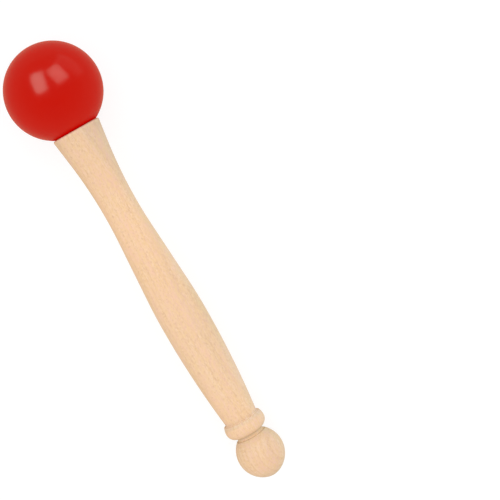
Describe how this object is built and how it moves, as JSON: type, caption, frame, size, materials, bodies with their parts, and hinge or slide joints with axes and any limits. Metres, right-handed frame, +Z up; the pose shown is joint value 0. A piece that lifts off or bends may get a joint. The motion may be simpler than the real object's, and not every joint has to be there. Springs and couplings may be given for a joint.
{
  "type": "singing bowl mallet",
  "caption": "Rubber ball mallet for striking and rubbing a singing bowl, on a turned beech handle with a bead and a knob at its end.",
  "frame": {"origin": "on the surface the mallet lies on, under the middle of its bounding box", "axes": "+X along the lying mallet from the ball to the knob, +Z up; the handle's axis dips 3.4 degrees below +X, because the ball is thicker than the knob"},
  "size_m": [0.2498, 0.05, 0.05],
  "materials": {
    "red_rubber": "smooth moulded solid rubber with a soft semi-gloss",
    "beech": "pale steamed beech, turned and fine-sanded, bare or thinly waxed"
  },
  "bodies": {
    "root": {"striking_ball": "red_rubber", "turned_handle": "beech", "dowel_pin": "beech"}
  },
  "joints": []
}
